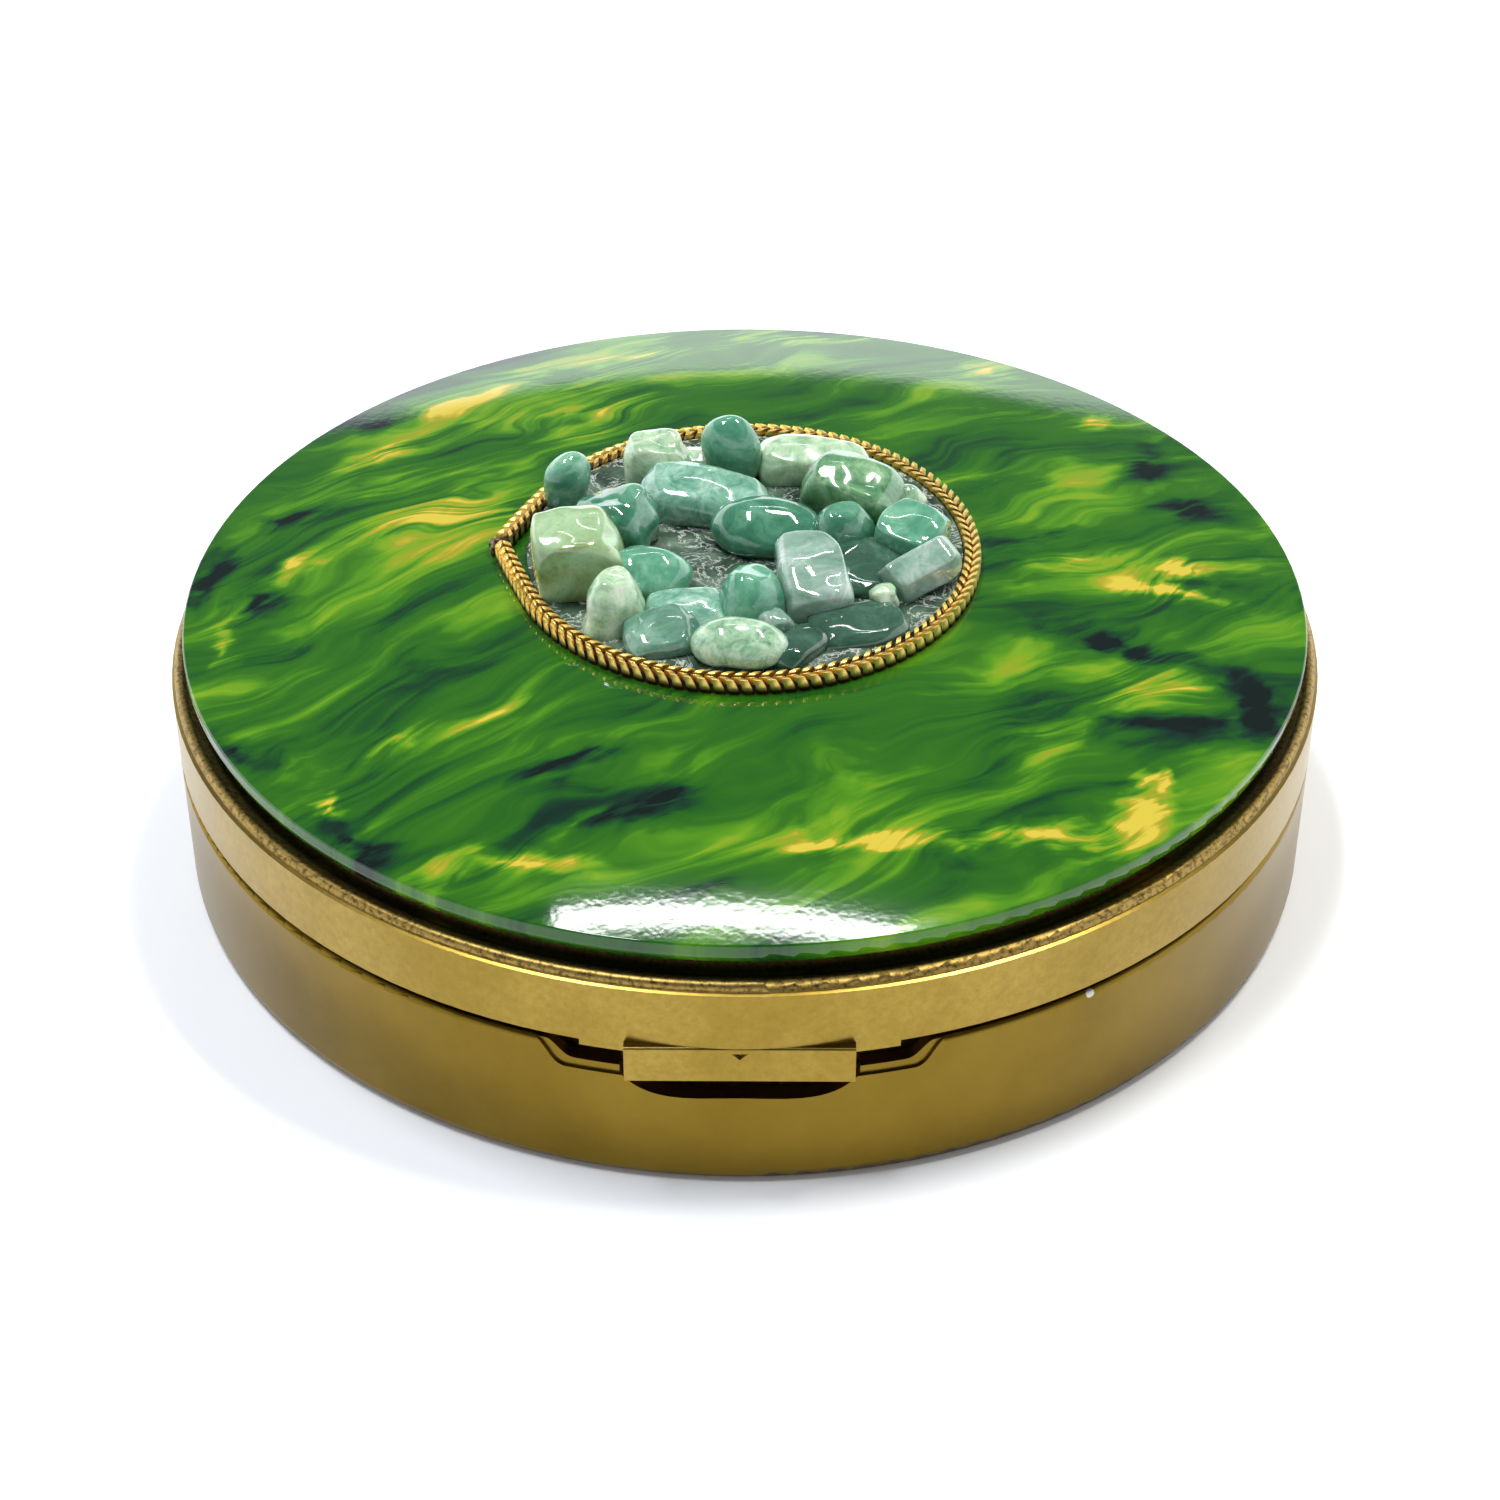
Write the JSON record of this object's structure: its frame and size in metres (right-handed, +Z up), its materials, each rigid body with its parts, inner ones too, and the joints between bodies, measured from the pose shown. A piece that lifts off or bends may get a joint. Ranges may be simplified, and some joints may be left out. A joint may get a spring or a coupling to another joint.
{
  "type": "hinged pill box",
  "caption": "Round brass pill box with a snap tab and rear hinge; the lid carries a domed green marbled stone plate and a chain-edged medallion of tumbled stone chips.",
  "frame": {"origin": "centre of the base's underside, where the box rests", "axes": "+Z up, -Y towards the clasp tab at the front, +Y towards the hinge, +X to the right as seen from the clasp"},
  "size_m": [0.0508, 0.0526, 0.0168],
  "materials": {
    "case_brass": "satin",
    "collar_brass": "satin",
    "chain_gold": "polished",
    "solder": "matte",
    "marbled_green": "gloss",
    "cement": "matte",
    "bed_resin": "gloss",
    "pale_jade": "gloss",
    "teal_aventurine": "gloss",
    "clear_quartz": "gloss"
  },
  "bodies": {
    "base": {"base_shell": "case_brass", "inner_collar": "collar_brass", "hinge_leaf_base": "case_brass", "hinge_pin": "case_brass"},
    "lid": {"lid_shell": "case_brass", "hinge_leaf_lid": "case_brass", "plate_cement": "cement", "marbled_plate": "marbled_green", "chain_ring": "chain_gold", "chain_solder_join": "solder", "medallion_bed": "bed_resin", "stone_pale_block": "pale_jade", "stone_standing_oval": "teal_aventurine", "stone_ridged_teal": "teal_aventurine", "stone_smooth_oval": "teal_aventurine", "stone_mossy_wedge": "pale_jade", "stone_grey_slab": "teal_aventurine", "stone_mossy_oval": "pale_jade", "stone_flat_teal": "teal_aventurine", "stone_teal_dome": "teal_aventurine", "stone_large_oval": "teal_aventurine", "stone_long_streaky": "teal_aventurine", "stone_white_green": "pale_jade", "stone_small_white": "pale_jade", "stone_upright_teal": "teal_aventurine", "stone_pale_long": "pale_jade", "stone_mossy_rock": "pale_jade", "stone_small_pale": "pale_jade", "stone_two_tone": "teal_aventurine", "stone_dark_triangle": "teal_aventurine", "stone_clear_block": "clear_quartz", "stone_clear_crystal": "clear_quartz", "stone_dark_flat": "teal_aventurine", "stone_front_flat": "teal_aventurine", "stone_crumb_right": "pale_jade", "stone_crumb_front": "pale_jade", "stone_front_sliver": "teal_aventurine"}
  },
  "joints": [
    {"name": "lid_hinge", "type": "hinge", "parent": "base", "child": "lid", "pos_m": [0, 0.02635, 0.00665], "axis": [-1, 0, 0], "range_deg": [0, 105]}
  ]
}
